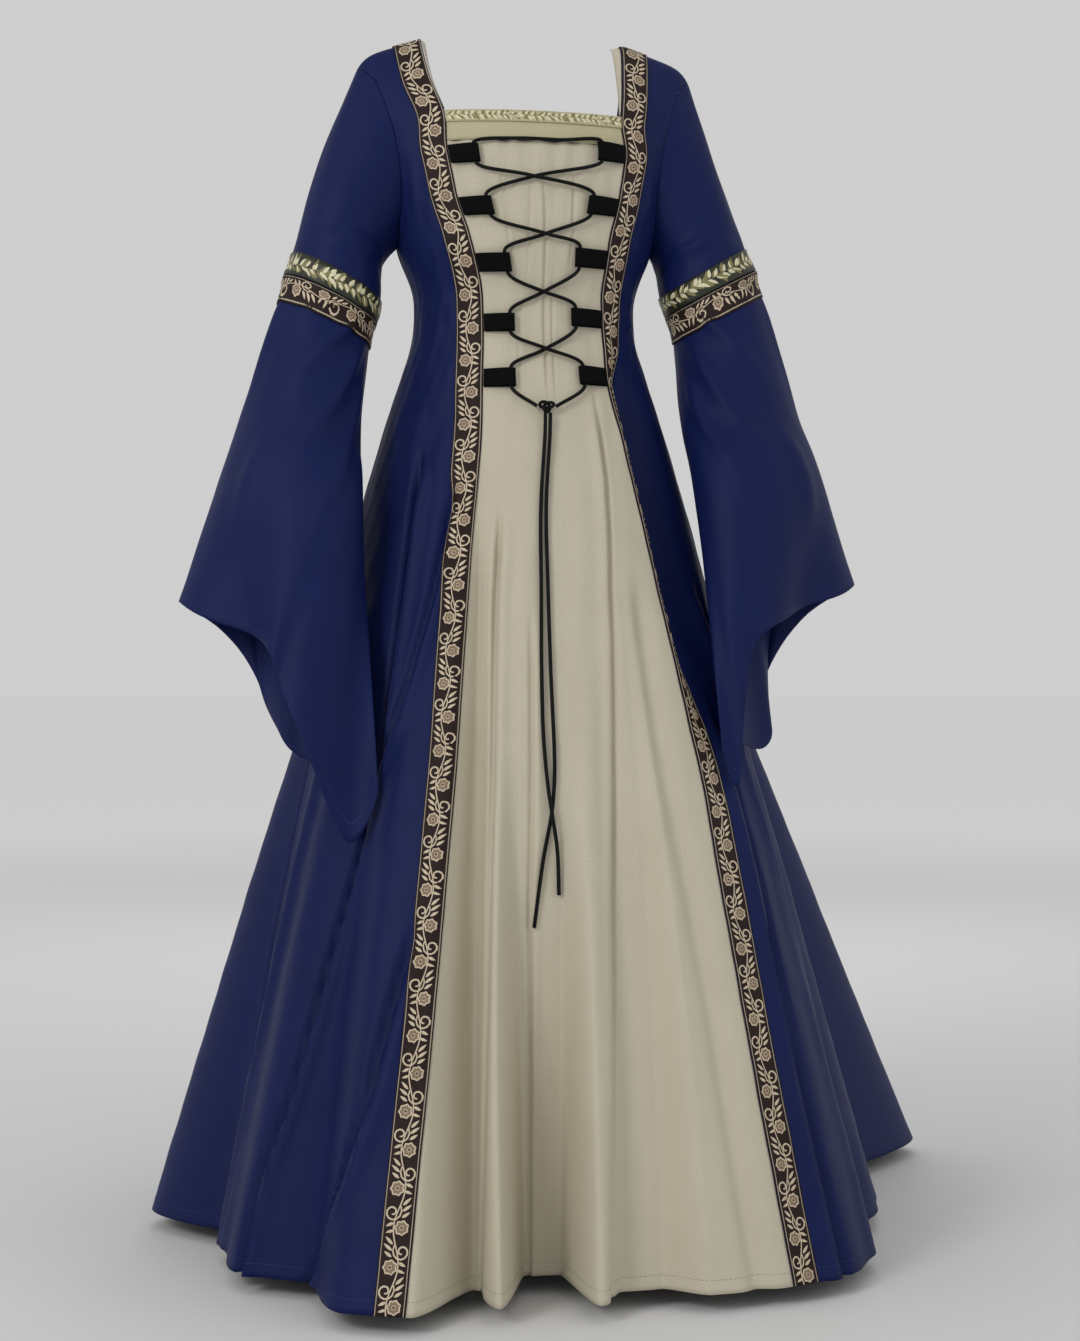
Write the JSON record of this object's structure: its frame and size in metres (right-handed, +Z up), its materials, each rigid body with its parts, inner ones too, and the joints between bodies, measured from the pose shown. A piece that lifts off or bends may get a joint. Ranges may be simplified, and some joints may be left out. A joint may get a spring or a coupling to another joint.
{
  "type": "historical dress",
  "caption": "Floor-length medieval-style dress with a laced beige front, navy panels, woven trims and pointed bell sleeves, in worn shape with no wearer",
  "frame": {"origin": "midway between the two shoulder seams, where a wearer or hanger carries the dress", "axes": "+Z up the wearer's body, -Y the dress's front, +X the wearer's left"},
  "size_m": [1.0196, 0.9501, 1.3775],
  "materials": {
    "blue_cloth": "brushed satin polyester",
    "beige_cloth": "matt crepe",
    "khaki_cloth": "matt crepe",
    "floral_trim": "woven jacquard ribbon",
    "leaf_braid": "woven metallic braid",
    "black_tape": "matt tape",
    "black_cord": "braided cord"
  },
  "bodies": {
    "root": {"arm_band_floral_left": "floral_trim", "arm_band_floral_right": "floral_trim", "arm_band_leaf_left": "leaf_braid", "arm_band_leaf_right": "leaf_braid", "back_left": "blue_cloth", "back_right": "blue_cloth", "centre_front": "beige_cloth", "knot": "black_cord", "lace_end_long": "black_cord", "lace_end_short": "black_cord", "lacing": "black_cord", "lower_sleeve_left": "blue_cloth", "lower_sleeve_right": "blue_cloth", "neck_facing_left": "beige_cloth", "neck_facing_right": "beige_cloth", "neckline_braid": "leaf_braid", "side_front_left": "blue_cloth", "side_front_right": "blue_cloth", "tab_left_1": "black_tape", "tab_left_2": "black_tape", "tab_left_3": "black_tape", "tab_left_4": "black_tape", "tab_left_5": "black_tape", "tab_right_1": "black_tape", "tab_right_2": "black_tape", "tab_right_3": "black_tape", "tab_right_4": "black_tape", "tab_right_5": "black_tape", "trim_left": "floral_trim", "trim_right": "floral_trim", "upper_sleeve_left": "blue_cloth", "upper_sleeve_right": "blue_cloth", "yoke": "khaki_cloth"}
  },
  "joints": []
}
